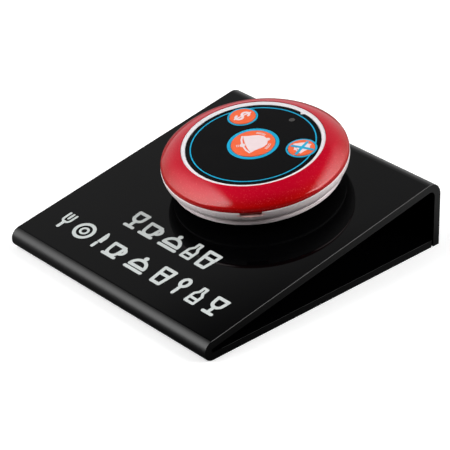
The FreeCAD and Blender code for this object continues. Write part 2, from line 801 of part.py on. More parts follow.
def screw(name, across, up, seat_level):
    """Pan-head screw driven upwards, its head against a seat level."""
    head = primitive("Cylinder", name + "_head", at(across, up, f"{seat_level} - screw_head_height"),
                     Radius="screw_head_radius", Height="screw_head_height")
    shank = primitive("Cylinder", name + "_shank", at(across, up, seat_level),
                      Radius="screw_pilot_radius", Height="screw_length")
    return joined(name, [head, shank])


def board_screws():
    return seated(grouped("board_screws", [screw(f"board_screw_{number}", x, y, "board_low")
                                           for number, (x, y) in enumerate(board_screw_spots)]))


def base_screws():
    return seated(grouped("base_screws", [screw(f"base_screw_{number}", x, y, "pad_thick + base_sink")
                                          for number, (x, y) in enumerate(base_screw_spots)]))


# ---------------------------------------------------------------- battery
def battery():
    """Cylindrical cell lying in the board's bay, its plus nub to the right."""
    body = new_body("battery")
    shoulder = "battery_length - battery_nub_length"
    corners = [
        ("0", "0"),
        ("battery_radius - key_round", "0"),
        ("battery_radius", "key_round"),
        ("battery_radius", f"{shoulder} - key_round"),
        ("battery_radius - key_round", shoulder),
        ("battery_nub_radius", shoulder),
        ("battery_nub_radius", "battery_length"),
        ("0", "battery_length"),
    ]
    revolved(body, corners, name="cell")
    lying = "placement(vector(minus_face; -battery_below; battery_level); rotation(vector(0; 1; 0); 90))"
    return seated(body, lying)


def battery_clip(label, corners, arcs=None):
    body = new_body(label)
    strip = new_sketch(body, "XZ_Plane", label + "_strip")
    draw_outline(strip, corners, arcs)
    padded(body, strip, "clip_width", middle=True)
    return body


def battery_clip_plus():
    """Bent strip: foot on the board and an upright plate, with a pressed contact dimple."""
    strip = battery_clip("plus_strip", [
        ("plus_plate", "battery_level - clip_rise"),
        ("plus_plate + clip_thick", "battery_level - clip_rise"),
        ("plus_plate + clip_thick", "board_top"),
        ("plus_plate + clip_thick + clip_foot", "board_top"),
        ("plus_plate + clip_thick + clip_foot", "board_top + clip_thick"),
        ("plus_plate + clip_thick", "board_top + clip_thick"),
        ("plus_plate + clip_thick", "battery_level + clip_rise"),
        ("plus_plate", "battery_level + clip_rise"),
    ])
    bind(strip, "Placement", at("0", "-battery_below", "0"))
    place = ("placement(vector(plus_face; -battery_below; battery_level);"
             " rotation(vector(0; 1; 0); 90))")
    dimple = primitive("Cone", "plus_dimple", place, Radius1="clip_dimple", Radius2="2 * clip_dimple",
                       Height="clip_dimple")
    return seated(joined("battery_clip_plus", [strip, dimple]))


def battery_clip_minus():
    """Bent strip whose leaf springs against the flat end of the cell."""
    strip = battery_clip("battery_clip_minus", [
        ("minus_plate - clip_thick - clip_foot", "board_top"),
        ("minus_plate - clip_thick", "board_top"),
        ("minus_plate - clip_thick", "battery_level - clip_rise"),
        ("minus_plate", "battery_level - clip_rise"),
        ("minus_plate", "battery_level + battery_radius / 3"),
        ("minus_face - clip_thick", "battery_level"),
        ("minus_face - clip_thick", "battery_level - battery_radius / 3"),
        ("minus_face", "battery_level - battery_radius / 3"),
        ("minus_face", "battery_level + clip_thick / 2"),
        ("minus_plate + clip_thick / 2", "battery_level + clip_rise"),
        ("minus_plate - clip_thick", "battery_level + clip_rise"),
        ("minus_plate - clip_thick", "board_top + clip_thick"),
        ("minus_plate - clip_thick - clip_foot", "board_top + clip_thick"),
    ])
    return seated(strip, at("0", "-battery_below", "0"))


# ---------------------------------------------------------------- parts on the board
def status_led():
    """Round lamp under the light window."""
    body = new_body("status_led")
    tip = "deck_low - window_flange_thick - led_gap"
    corners = [
        ("0", "board_top"),
        ("led_radius + led_flange", "board_top"),
        ("led_radius + led_flange", "board_top + led_flange_thick"),
        ("led_radius", "board_top + led_flange_thick"),
        ("led_radius", f"{tip} - led_radius"),
        ("0", tip),
    ]
    revolved(body, corners, {4: ("led_radius", 1)}, "lamp")
    return seated(body, at("0", "light_reach", "0"))


def encoder_chip():
    """Fourteen-leg package."""
    pieces = [upright_box("chip_block", "0", "chip_up", "board_top + chip_lift",
                          "chip_length", "chip_width", "chip_height - chip_lift")]
    per_side = 7
    for number in range(per_side):
        for side in (-1, 1):
            pieces.append(upright_box(
                f"chip_leg_{number}_{side + 1}", f"({number} - {per_side // 2}) * chip_pitch",
                f"chip_up + {side} * (chip_width + chip_leg) / 2", "board_top",
                "leg_width", "chip_leg", "leg_height"))
    return seated(joined("encoder_chip", pieces))


def saw_resonator():
    """Round metal can on a thin flange."""
    body = new_body("saw_resonator")
    corners = [
        ("0", "board_top"),
        ("can_radius + can_flange", "board_top"),
        ("can_radius + can_flange", "board_top + can_flange"),
        ("can_radius", "board_top + can_flange"),
        ("can_radius", "board_top + can_height - can_flange"),
        ("can_radius - can_flange", "board_top + can_height"),
        ("0", "board_top + can_height"),
    ]
    revolved(body, corners, {4: ("can_flange", 1)}, "can")
    return seated(body, at("can_across", "can_up", "0"))


def rf_transistor():
    """Three-leg package."""
    pieces = [upright_box("transistor_block", "transistor_across", "transistor_up",
                          "board_top + chip_lift", "transistor_length", "transistor_width",
                          "transistor_height")]
    for across, side in ((-1, -1), (1, -1), (0, 1)):
        pieces.append(upright_box(
            f"transistor_leg_{len(pieces)}", f"transistor_across + {across} * transistor_pitch",
            f"transistor_up + {side} * (transistor_width + transistor_leg) / 2", "board_top",
            "leg_width", "transistor_leg", "leg_height"))
    return seated(joined("rf_transistor", pieces))


def antenna_loop():
    """Tinned wire that stands on two legs and follows the board's edge."""
    level = "board_top + loop_stand"
    pieces = [primitive("Torus", "loop_run", at("0", "0", level, "loop_start_angle"), Radius1="loop_radius",
                        Radius2="wire_radius", Angle3="loop_end_angle - loop_start_angle")]
    for end in ("loop_start_angle", "loop_end_angle"):
        across, up = f"loop_radius * cos({end})", f"loop_radius * sin({end})"
        pieces.append(primitive("Cylinder", end + "_leg", at(across, up, "board_top"),
                                Radius="wire_radius", Height="loop_stand"))
        pieces.append(primitive("Sphere", end + "_elbow", at(across, up, level), Radius="wire_radius"))
    return seated(joined("antenna_loop", pieces))


# where each small chip lies on the board, across and up from its middle, and how it is turned
RESISTOR_SPOTS = [(-6.5, 6.4, 0), (-6.5, 14, 0), (6.5, 14, 0), (6.8, 6.4, 90), (9.4, 1.2, 90)]
CAPACITOR_SPOTS = [(-4.6, "bay_top + small_length", 0), (4.6, "bay_top + small_length", 0),
                   (8.8, -2.6, 90), ("transistor_across", "transistor_up + small_length", 0)]


def small_chips(label, spots, height):
    """Leadless chips of one case size soldered flat on the board."""
    chips = [upright_box(f"{label}_{number}", across, up, "board_top",
                         "small_length", "small_width", height, turn)
             for number, (across, up, turn) in enumerate(spots)]
    return seated(grouped(label, chips))


# ---------------------------------------------------------------- assembly
nodes = [acrylic_stand(), mounting_pad(), base_cover(), body_shell(), trim_ring(),
         membrane_overlay(), light_window()]
for key in KEYS:
    nodes += [key_cap(key), switch_base(key), switch_cover(key), switch_stem(key)]
nodes += [switch_pins(), circuit_board(), board_screws(), base_screws(), battery(),
          battery_clip_plus(), battery_clip_minus(), status_led(), encoder_chip(),
          saw_resonator(), rf_transistor(), antenna_loop(),
          small_chips("chip_resistors", RESISTOR_SPOTS, "resistor_height"),
          small_chips("chip_capacitors", CAPACITOR_SPOTS, "capacitor_height")]
doc.recompute()

for item in doc.Objects:
    if "Invalid" in item.State or "Error" in item.State:
        raise RuntimeError(f"{item.Label}: {item.State}")
for node in nodes:
    if node.Shape.isNull() or not node.Shape.isValid():
        raise RuntimeError(node.Label + " has no valid shape")
for node in nodes:
    node.Shape.exportStep(os.path.join("parts", node.Label + ".step"))
    print(f"{node.Label}: {len(node.Shape.Solids)} solid(s), {node.Shape.Volume:.1f} mm3")
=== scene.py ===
import math

import bpy
from mathutils import Euler, Matrix, Vector
from mathutils.geometry import delaunay_2d_cdt


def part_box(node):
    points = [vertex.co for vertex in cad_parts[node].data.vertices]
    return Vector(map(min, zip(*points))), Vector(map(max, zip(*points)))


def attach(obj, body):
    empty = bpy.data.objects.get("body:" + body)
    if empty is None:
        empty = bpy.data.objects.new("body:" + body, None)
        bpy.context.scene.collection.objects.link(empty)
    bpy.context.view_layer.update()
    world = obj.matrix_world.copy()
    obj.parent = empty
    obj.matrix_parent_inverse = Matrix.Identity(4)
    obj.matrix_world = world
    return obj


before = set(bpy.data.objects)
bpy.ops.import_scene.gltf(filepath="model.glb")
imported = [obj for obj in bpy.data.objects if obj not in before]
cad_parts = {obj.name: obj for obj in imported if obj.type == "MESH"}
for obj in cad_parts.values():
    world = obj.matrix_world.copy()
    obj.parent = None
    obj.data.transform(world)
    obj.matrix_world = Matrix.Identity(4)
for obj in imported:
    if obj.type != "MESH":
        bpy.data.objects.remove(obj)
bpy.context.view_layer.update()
scene = bpy.context.scene


# ---------------------------------------------------------------- table, studio light and camera
# A pale matt table under two large softboxes, one to the front left and one to the rear right,
# in a room that is dark overhead, so that glossy black reads black. The camera looks down on the
# right front corner through a long lens.
def node_material(name):
    """A material with its shader and node tree, and a function that adds nodes to it."""
    material = bpy.data.materials.new(name)
    material.use_nodes = True
    tree = material.node_tree

    def add(kind, settings=None, **inputs):
        return add_node(tree, kind, settings, **inputs)

    return material, tree.nodes["Principled BSDF"], tree, add


def add_node(tree, kind, settings=None, **inputs):
    """Adds a node. Inputs are given by socket name, an underscore for a space, as a value or as
    another node's output."""
    node = tree.nodes.new(kind)
    for key, setting in (settings or {}).items():
        setattr(node, key, setting)
    feed(tree, node, **inputs)
    return node


def feed(tree, node, **inputs):
    for key, given in inputs.items():
        wire(tree, given, node.inputs[key.replace("_", " ")])


def wire(tree, given, socket):
    """Links a node's output to a socket, or sets the socket to a value. Colours are triples."""
    if isinstance(given, bpy.types.NodeSocket):
        tree.links.new(given, socket)
    else:
        socket.default_value = (*given, 1) if socket.type == "RGBA" else given


def reckoned(tree, kind, operation, *inputs, result="Value"):
    """A result of a Math or Vector Math node, its inputs given in order."""
    node = add_node(tree, kind, {"operation": operation})
    for given, socket in zip(inputs, node.inputs):
        wire(tree, given, socket)
    return node.outputs[result]


def ranged(tree, value, start, stop, low=0.0, high=1.0, smooth=False):
    """Runs from low to high while the value runs from start to stop."""
    settings = {"interpolation_type": "SMOOTHSTEP"} if smooth else None
    node = add_node(tree, "ShaderNodeMapRange", settings, Value=value, From_Min=start,
                    From_Max=stop, To_Min=low, To_Max=high)
    return node.outputs["Result"]


def ramped(tree, share, low, high):
    """A colour that runs from low to high while the share runs from 0 to 1."""
    ramp = add_node(tree, "ShaderNodeValToRGB", Fac=share)
    ramp.color_ramp.elements[0].color = (*low, 1)
    ramp.color_ramp.elements[1].color = (*high, 1)
    return ramp.outputs["Color"]


def blended(tree, share, first, second):
    """A mix of two colours with this share of the second."""
    node = add_node(tree, "ShaderNodeMix", {"data_type": "RGBA"}, Factor=share)
    colours = [socket for socket in node.inputs if socket.type == "RGBA"]
    wire(tree, first, colours[0])
    wire(tree, second, colours[1])
    return next(socket for socket in node.outputs if socket.type == "RGBA")


def grey(value):
    return (value, value, value)


TABLE_HALF = 3.0
TABLE_TONES = (grey(0.90), grey(0.94))
TABLE_GLOW = 0.35
PALING_REACH = (0.4, 1.2)
FRONT_RIGHT = (0.08, -0.08, 0)
BOUNCE = (0.05, 0.26)
BOUNCE_REACH = (0.05, 0.16)
BESIDE_STAND = (0.053, 0.060)
BESIDE_SHARE = 0.55


def matt_table():
    """Pale where it is looked at, and there it glows: a painted glow, weaker near the front right
    and stronger farther out, that lightens the shadows on it. As a light source it is darker, most
    of all on the front right and beside the stand, where the black sides would mirror it: this is
    painted shade."""
    material, shader, tree, add = node_material("matt_table")
    mottle = add("ShaderNodeTexNoise", Scale=9.0, Detail=4.0)
    pale = ramped(tree, mottle.outputs["Fac"], *TABLE_TONES)
    spot = add("ShaderNodeTexCoord").outputs["Object"]
    reach = reckoned(tree, "ShaderNodeVectorMath", "DISTANCE", spot, FRONT_RIGHT)
    # Painted shade: the light the table gives off is dimmed near the front right and beside the stand.
    bounce = ranged(tree, reach, *BOUNCE_REACH, *BOUNCE)
    across = add("ShaderNodeSeparateXYZ", Vector=spot).outputs["X"]
    beside = ranged(tree, across, *BESIDE_STAND, BESIDE_SHARE)
    shaded_bounce = reckoned(tree, "ShaderNodeMath", "MULTIPLY", bounce, beside)
    seen = add("ShaderNodeLightPath").outputs["Is Camera Ray"]
    # Painted glow: seen by the camera the table glows, which lightens the shadows on it.
    painted_glow = ranged(tree, reach, *PALING_REACH, TABLE_GLOW)
    glow = reckoned(tree, "ShaderNodeMath", "MULTIPLY", seen, painted_glow)
    feed(tree, shader, Base_Color=blended(tree, seen, shaded_bounce, pale), Emission_Strength=glow,
         Emission_Color=grey(1), Roughness=0.8, Specular_IOR_Level=0.1)
    return material


table_mesh = bpy.data.meshes.new("table")
corners = [(x * TABLE_HALF, y * TABLE_HALF, 0) for x, y in ((-1, -1), (1, -1), (1, 1), (-1, 1))]
table_mesh.from_pydata(corners, [], [(0, 1, 2, 3)])
table_mesh.materials.append(matt_table())
table = bpy.data.objects.new("table", table_mesh)
scene.collection.objects.link(table)

LOW_ROOM = 0.76
ROOM_FADE = ((0.3, 0.58), (0.5, 0.34), (0.65, 0.23), (0.69, 0.19), (0.712, 0.04), (0.75, 0.0))
FAR_SIDE = (-0.73, 0.69, 0)
FAR_RANGE = (-0.25, 0.45)
NEAR_SHARE = 0.03


def room_light():
    """White where it is looked at. As a light source it is grey low on the far side of the room,
    and fades overhead and to the near side."""
    world = bpy.data.worlds.new("studio")
    world.use_nodes = True
    tree = world.node_tree
    direction = add_node(tree, "ShaderNodeTexCoord").outputs["Generated"]
    height = add_node(tree, "ShaderNodeSeparateXYZ", Vector=direction).outputs["Z"]
    room = ramped(tree, height, grey(LOW_ROOM), grey(0))
    for place, level in ROOM_FADE:
        room.node.color_ramp.elements.new(place).color = (*grey(level), 1)
    far = reckoned(tree, "ShaderNodeVectorMath", "DOT_PRODUCT", direction, FAR_SIDE)
    side = ranged(tree, far, *FAR_RANGE, NEAR_SHARE, smooth=True)
    seen = add_node(tree, "ShaderNodeLightPath").outputs["Is Camera Ray"]
    strength = add_node(tree, "ShaderNodeMix", Factor=seen, A=side, B=1.0)
    feed(tree, tree.nodes["Background"], Color=blended(tree, seen, room, grey(1)),
         Strength=strength.outputs["Result"])
    scene.world = world


def softbox(name, azimuth, elevation, distance, width, height, radiance, soft):
    """A rectangular lamp facing the middle of the table, brightest in its middle. Azimuth runs
    from +Y towards +X. Soft is the share of its size over which it fades at its right, left,
    lower and upper edges, seen from the table."""
    lamp = bpy.data.lights.new(name, "AREA")
    lamp.shape = "RECTANGLE"
    lamp.size = width
    lamp.size_y = height
    lamp.energy = radiance * math.pi * width * height
    lamp.use_nodes = True
    tree = lamp.node_tree
    parametric = add_node(tree, "ShaderNodeNewGeometry").outputs["Parametric"]
    place = add_node(tree, "ShaderNodeSeparateXYZ", Vector=parametric)
    edges = (("X", 0, soft[0]), ("X", 1, -soft[1]), ("Y", 0, soft[2]), ("Y", 1, -soft[3]))
    level, *fades = [ranged(tree, place.outputs[axis], edge, edge + share, smooth=True)
                     for axis, edge, share in edges]
    for fade in fades:
        level = reckoned(tree, "ShaderNodeMath", "MULTIPLY", level, fade)
    feed(tree, tree.nodes["Emission"], Strength=level)
    box = bpy.data.objects.new(name, lamp)
    turn, rise = math.radians(azimuth), math.radians(elevation)
    box.location = distance * Vector((math.sin(turn) * math.cos(rise),
                                      math.cos(turn) * math.cos(rise), math.sin(rise)))
    box.rotation_euler = box.location.to_track_quat("Z", "Y").to_euler()
    scene.collection.objects.link(box)


room_light()
softbox("front_left_softbox", azimuth=-131, elevation=33, distance=1.0, width=1.50, height=1.28,
        radiance=5.6, soft=(0.85, 0.16, 0.35, 0.15))
softbox("rear_right_softbox", azimuth=31, elevation=33, distance=1.0, width=1.56, height=1.08,
        radiance=7.6, soft=(0.1, 0.9, 0.5, 0.3))

camera_data = bpy.data.cameras.new("camera")
camera_data.lens = 167.9
camera_data.clip_start = 0.05
camera = bpy.data.objects.new("camera", camera_data)
camera.location = (0.4630, -0.43865, 0.3788)
camera.rotation_euler = Euler([math.radians(turn) for turn in (59.858, -0.338, 46.785)])
scene.collection.objects.link(camera)
scene.camera = camera
scene.view_settings.view_transform = "Standard"


# ---------------------------------------------------------------- slanted stand
# One sheet of 3 mm cast black acrylic, heated and bent twice: flange, front fold, face, rear
# wall. The faces keep the casting's gloss, with faint waves. The front fold and the scraped cut
# edges are a little duller, and the flange's upper arris has a fine pale line, partly a scuff
# and partly a painted highlight where the arris catches the light.
MM = 0.001


def surface_group():
    """Fine unevenness that most of the finishes here share: roughness that drifts between two
    values, a mask of the same drift and a grain height for a bump."""
    tree = bpy.data.node_groups.new("fine_surface", "ShaderNodeTree")
    for name, start in (("Drift Scale", 60.0), ("Grain Scale", 3000.0), ("Low", 0.3), ("High", 0.4)):
        socket = tree.interface.new_socket(name, in_out="INPUT", socket_type="NodeSocketFloat")
        socket.default_value = start
    for name in ("Roughness", "Drift", "Grain"):
        tree.interface.new_socket(name, in_out="OUTPUT", socket_type="NodeSocketFloat")
    given = tree.nodes.new("NodeGroupInput").outputs
    result = tree.nodes.new("NodeGroupOutput")
    place = add_node(tree, "ShaderNodeTexCoord").outputs["Object"]
    drift = add_node(tree, "ShaderNodeTexNoise", Vector=place, Scale=given["Drift Scale"], Detail=4.0)
    grain = add_node(tree, "ShaderNodeTexNoise", Vector=place, Scale=given["Grain Scale"], Detail=2.0)
    spread = ranged(tree, drift.outputs["Fac"], 0.3, 0.7, given["Low"], given["High"])
    feed(tree, result, Roughness=spread, Drift=drift.outputs["Fac"], Grain=grain.outputs["Fac"])
    return tree


FINE_SURFACE = surface_group()


def fine_surface(add, drift_scale, grain_scale, roughness):
    node = add("ShaderNodeGroup", {"node_tree": FINE_SURFACE}, Drift_Scale=drift_scale,
               Grain_Scale=grain_scale, Low=roughness[0], High=roughness[1])
    return node.outputs


def bumped(add, height, depth):
    """A normal bent by a height map, its depth in millimetres."""
    return add("ShaderNodeBump", Height=height, Distance=depth * MM).outputs["Normal"]


def dress(material, *nodes):
    """Gives CAD nodes their finish."""
    for name in nodes:
        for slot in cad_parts[name].material_slots:
            slot.material = material


SHEET = 3 * MM
CUT_DEPTH = 0.05 * MM
FRONT_FOLD = -53.4 * MM
FOLD_FADE = 0.5 * MM
ARRIS_HALF = 0.1 * MM
FLANGE_MIDDLE = 1 * MM
FLANGE_HALF = 50 * MM
FACE_ROUGHNESS = (0.015, 0.04)
FOLD_ROUGHNESS = 0.40
CUT_ROUGHNESS = 0.16
FACE_BLACK = (0.0006, 0.0006, 0.0008)
CUT_BLACK = (0.0012, 0.0012, 0.0013)
# Pale line on the flange's upper arris: partly a scuff, partly a painted highlight.
SCUFF_AND_HIGHLIGHT = grey(0.03)


def cast_black_acrylic():
    material, shader, tree, add = node_material("cast_black_acrylic")
    half_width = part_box("acrylic_stand")[1][0]
    surface = fine_surface(add, drift_scale=45, grain_scale=6000, roughness=FACE_ROUGHNESS)
    spot = add("ShaderNodeTexCoord").outputs["Object"]
    x, y, z = add("ShaderNodeSeparateXYZ", Vector=spot).outputs
    off_centre = reckoned(tree, "ShaderNodeMath", "ABSOLUTE", x)
    cut_edge = reckoned(tree, "ShaderNodeMath", "GREATER_THAN", off_centre, half_width - CUT_DEPTH)
    heated = ranged(tree, y, FRONT_FOLD, FRONT_FOLD - FOLD_FADE)
    softer = add("ShaderNodeMix", Factor=heated, A=surface["Roughness"], B=FOLD_ROUGHNESS)
    rough = add("ShaderNodeMix", Factor=cut_edge, A=softer.outputs["Result"], B=CUT_ROUGHNESS)
    at_top = reckoned(tree, "ShaderNodeMath", "COMPARE", z, SHEET - ARRIS_HALF, ARRIS_HALF)
    on_flange = reckoned(tree, "ShaderNodeMath", "COMPARE", y, FLANGE_MIDDLE, FLANGE_HALF)
    cut_top = reckoned(tree, "ShaderNodeMath", "MULTIPLY", cut_edge, at_top)
    # The flange's upper arris: partly a scuff, partly a painted highlight.
    arris = reckoned(tree, "ShaderNodeMath", "MULTIPLY", cut_top, on_flange)
    tone = blended(tree, cut_edge, FACE_BLACK, CUT_BLACK)
    waves = add("ShaderNodeTexNoise", Vector=spot, Scale=22.0, Detail=1.0)
    feed(tree, shader, Base_Color=blended(tree, arris, tone, SCUFF_AND_HIGHLIGHT),
         Roughness=rough.outputs["Result"], Normal=bumped(add, waves.outputs["Fac"], 0.04), IOR=1.49)
    return material


dress(cast_black_acrylic(), "acrylic_stand")


# ---------------------------------------------------------------- print on the stand
# Two centred rows of plain tableware signs, screen printed in off-white ink with one main
# stroke width. The ink lies 0.04 mm proud of the sheet.
FACE_SLOPE = math.radians(10.2)
PAD_THICK = 1.0
SEAT_UP_SLOPE = 73.4
INK = 0.04
STROKE = 1.35
CROWN_RINGS = (1.3, 2.6, 3.9, 5.2)
RING_POINTS = 18
OFF_MIDDLE = (0.01, 0.02)
MERGE_GAP = 1e-4


def disc(x, y, radius, sides=20):
    turns = [2 * math.pi * k / sides for k in range(sides)]
    return [(x + radius * math.cos(turn), y + radius * math.sin(turn)) for turn in turns]


def arc(x, y, radius, start, stop, steps=16, squash=1.0):
    """Points along an arc, its angles in degrees."""
    turns = [math.radians(start + (stop - start) * k / steps) for k in range(steps + 1)]
    return [(x + radius * math.cos(turn), y + squash * radius * math.sin(turn)) for turn in turns]


def stroke(points, width=STROKE):
    """A line of even width with round ends and joints, as overlapping quads and discs."""
    shapes = [disc(x, y, width / 2) for x, y in points]
    for (ax, ay), (bx, by) in zip(points, points[1:]):
        length = math.hypot(bx - ax, by - ay)
        across, up = (ay - by) / length * width / 2, (bx - ax) / length * width / 2
        shapes.append([(ax - across, ay - up), (bx - across, by - up), (bx + across, by + up),
                       (ax + across, ay + up)])
    return shapes


def printed(name, shapes, place, thickness=INK, lift=None):
    """A thin solid with the joined outline of overlapping shapes, drawn in millimetres. Where it
    lies on a crowned cap, lift gives the height of each spot, and loose inner points follow it."""
    points, faces = [], []
    for shape in shapes:
        faces.append(list(range(len(points), len(points) + len(shape))))
        points += [Vector(point) for point in shape]
    if lift:
        points += [Vector(point) for reach in CROWN_RINGS
                   for point in disc(*OFF_MIDDLE, reach, RING_POINTS)]
    flat, _, triangles, _, _, sources = delaunay_2d_cdt(points, [], faces, 0, MERGE_GAP)
    inked = [tuple(triangle) for triangle, source in zip(triangles, sources) if source]
    used = sorted({corner for triangle in inked for corner in triangle})
    number = {corner: count for count, corner in enumerate(used)}
    count = len(used)
    heights = [lift(*flat[corner]) if lift else 0 for corner in used]
    low = [(flat[corner].x * MM, flat[corner].y * MM, height * MM)
           for corner, height in zip(used, heights)]
    top = [(x, y, z + thickness * MM) for x, y, z in low]
    tops = [tuple(number[corner] + count for corner in triangle) for triangle in inked]
    lows = [tuple(number[corner] for corner in reversed(triangle)) for triangle in inked]
    edges = {(a, b) for triangle in inked for a, b in zip(triangle, triangle[1:] + triangle[:1])}
    sides = [(number[a], number[b], number[b] + count, number[a] + count)
             for a, b in sorted(edges) if (b, a) not in edges]
    mesh = bpy.data.meshes.new(name)
    mesh.from_pydata(low + top, [], lows + tops + sides)
    mesh.transform(place)
    piece = bpy.data.objects.new(name, mesh)
    scene.collection.objects.link(piece)
    return piece


def wine_glass():
    bowl = [(-2.3, 8.4), (-2.1, 6.2)] + arc(0, 6.0, 2.1, 200, 340, 10) + [(2.1, 6.2), (2.3, 8.4)]
    return stroke(bowl + [bowl[0]]) + stroke([(0, 3.9), (0, 0.6)]) + stroke([(-2.0, 0.6), (2.0, 0.6)])


def cup():
    body = [(-3.2, 6.6), (-2.9, 3.4)] + arc(-0.6, 3.2, 2.3, 200, 340, 10) + [(1.7, 3.4), (2.0, 6.6)]
    saucer = stroke([(-3.4, 0.6), (2.4, 0.6)])
    return stroke(body + [body[0]]) + stroke(arc(2.0, 4.6, 1.5, 75, -75, 10)) + saucer


def cloche():
    dome = arc(0, 2.4, 3.4, 180, 0, 18)
    return stroke(dome + [dome[0]]) + stroke([(-3.9, 0.6), (3.9, 0.6)]) + [disc(0, 7.2, 1.0)]


def tumbler():
    wall = [(-2.6, 8.2), (-1.9, 0.7), (1.9, 0.7), (2.6, 8.2)]
    return stroke(wall + [wall[0]]) + stroke([(-2.2, 5.2), (2.2, 5.2)])


def plate():
    return stroke(arc(0, 4.4, 3.7, 0, 360, 36)) + stroke(arc(0, 4.4, 1.5, 0, 360, 24), 0.9)


def fork():
    tines = [shape for side in (-1.7, 0, 1.7) for shape in stroke([(side, 8.2), (side, 5.6)], 0.95)]
    yoke = stroke([(-1.7, 5.6)] + arc(0, 5.2, 1.7, 190, 350, 10) + [(1.7, 5.6)], 0.95)
    return tines + yoke + stroke([(0, 3.6), (0, 0.6)])


def knife():
    blade = [(-0.7, 3.4), (1.3, 3.4), (1.3, 6.4), (0.9, 7.6), (0.1, 8.8), (-0.7, 8.8)]
    return [blade] + stroke([(-0.2, 2.6), (-0.2, 0.6)])


def spoon():
    bowl = arc(0, 6.6, 1.5, 0, 360, 24, squash=1.35)
    return stroke(bowl) + stroke([(0, 4.2), (0, 0.6)])


def bottle():
    wall = [(-0.8, 8.6), (-0.8, 6.4), (-1.9, 4.9), (-1.9, 0.7), (1.9, 0.7), (1.9, 4.9), (0.8, 6.4),
            (0.8, 8.6)]
    return stroke(wall + [wall[0]], 1.1) + stroke([(-1.7, 2.9), (1.7, 2.9)], 1.1)


def spaced(drawings, width):
    """Side by side with even gaps, the whole row centred and this wide."""
    spans = [(min(x for shape in shapes for x, y in shape), max(x for shape in shapes for x, y in shape))
             for shapes in drawings]
    gap = (width - sum(right - left for left, right in spans)) / (len(spans) - 1)
    start = -width / 2
    placed = []
    for shapes, (left, right) in zip(drawings, spans):
        shift = start - left
        placed.append([[(x + shift, y) for x, y in shape] for shape in shapes])
        start += right - left + gap
    return placed


def face_place(up_slope):
    """A frame on the sloping face: X across, Y up the slope, its origin up_slope metres from the
    line where the face, run on downwards, meets the front edge's plane."""
    pad_low, pad_high = (Vector(corner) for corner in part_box("mounting_pad"))
    tilt = Matrix.Rotation(FACE_SLOPE, 4, "X")
    foot = (pad_low + pad_high) / 2 - tilt @ Vector((0, 0, PAD_THICK / 2 * MM))
    return Matrix.Translation(foot + tilt @ Vector((-foot.x, up_slope - SEAT_UP_SLOPE * MM, 0))) @ tilt


def drifting_finish(name, low, high, scales, roughness, depth=0, **sockets):
    """A finish whose colour and roughness drift between two values. Scales are those of the
    drift and of the grain, which is so many millimetres deep."""
    material, shader, tree, add = node_material(name)
    surface = fine_surface(add, *scales, roughness)
    feed(tree, shader, Base_Color=ramped(tree, surface["Drift"], low, high),
         Roughness=surface["Roughness"], **sockets)
    if depth:
        feed(tree, shader, Normal=bumped(add, surface["Grain"], depth))
    return material


off_white_ink = drifting_finish("off_white_ink", (0.56, 0.59, 0.58), (0.64, 0.68, 0.665),
                                scales=(500, 2500), roughness=(0.42, 0.6), depth=0.01)
rows = {
    "upper_row": (26.9 * MM, 42.6, (wine_glass, cup, cloche, bottle, tumbler)),
    "lower_row": (11.6 * MM, 82.0, (fork, plate, knife, cup, cloche, tumbler, spoon, bottle, wine_glass)),
}
for row, (up_slope, width, signs) in rows.items():
    drawn = spaced([sign() for sign in signs], width)
    for count, (sign, shapes) in enumerate(zip(signs, drawn)):
        piece = printed(f"{row}_{count + 1}_{sign.__name__}", shapes, face_place(up_slope))
        piece.data.materials.append(off_white_ink)
        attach(piece, "stand_and_housing")


# ---------------------------------------------------------------- foam pad
# A disc die cut from double-sided acrylic foam tape, 1 mm thick. It sticks the button to the
# stand's face.
dress(drifting_finish("foam_tape", grey(0.006), grey(0.02), scales=(900, 2200),
                      roughness=(0.75, 0.95), depth=0.15), "mounting_pad")


# ---------------------------------------------------------------- housing
# Base cover and body shell, injection moulded in white ABS. The moulds are polished, so the
# skin is satin with a trace of flow unevenness. Below the ring the white is tinted pink, a
# painted reflection of the red ring's light, and it is painted lighter and pinker still on the
# floor of the pry notch, as painted light in the notch's shade.
BUTTON_TURN = math.radians(-2)
NOTCH = {"angle": math.radians(-44.7), "reach": 32.7, "height": 10.2}
# Painted light: the floor of the pry notch, which lies in shade, is painted a light pink.
NOTCH_PAINTED_LIGHT = (0.95, 0.60, 0.57)
NOTCH_REACH = (5.6, 4.4)
NOTCH_FLATTEN = 5.5
BAND_TOP = (11.0, 11.3)
# Painted reflected light: the white low on the button takes a pink tint from the red ring above it.
RED_BOUNCE_WHITE = (0.87, 0.765, 0.775)
WHITES = ((0.80, 0.775, 0.80), (0.87, 0.845, 0.87))
# Painted shade: what the sheet mirrors of the housing is darkened to nearly black.
MIRROR_SHADE_WHITE = grey(0.04)
MIRRORED_ROUGHNESS = 0.9


def button_place(level):
    """The button's own frame at a height over the sloping face, in millimetres."""
    turn = Matrix.Rotation(BUTTON_TURN, 4, "Z")
    across = Matrix.Translation((sum(corner[0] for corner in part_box("mounting_pad")) / 2, 0, 0))
    return across @ face_place(SEAT_UP_SLOPE * MM) @ turn @ Matrix.Translation((0, 0, level * MM))


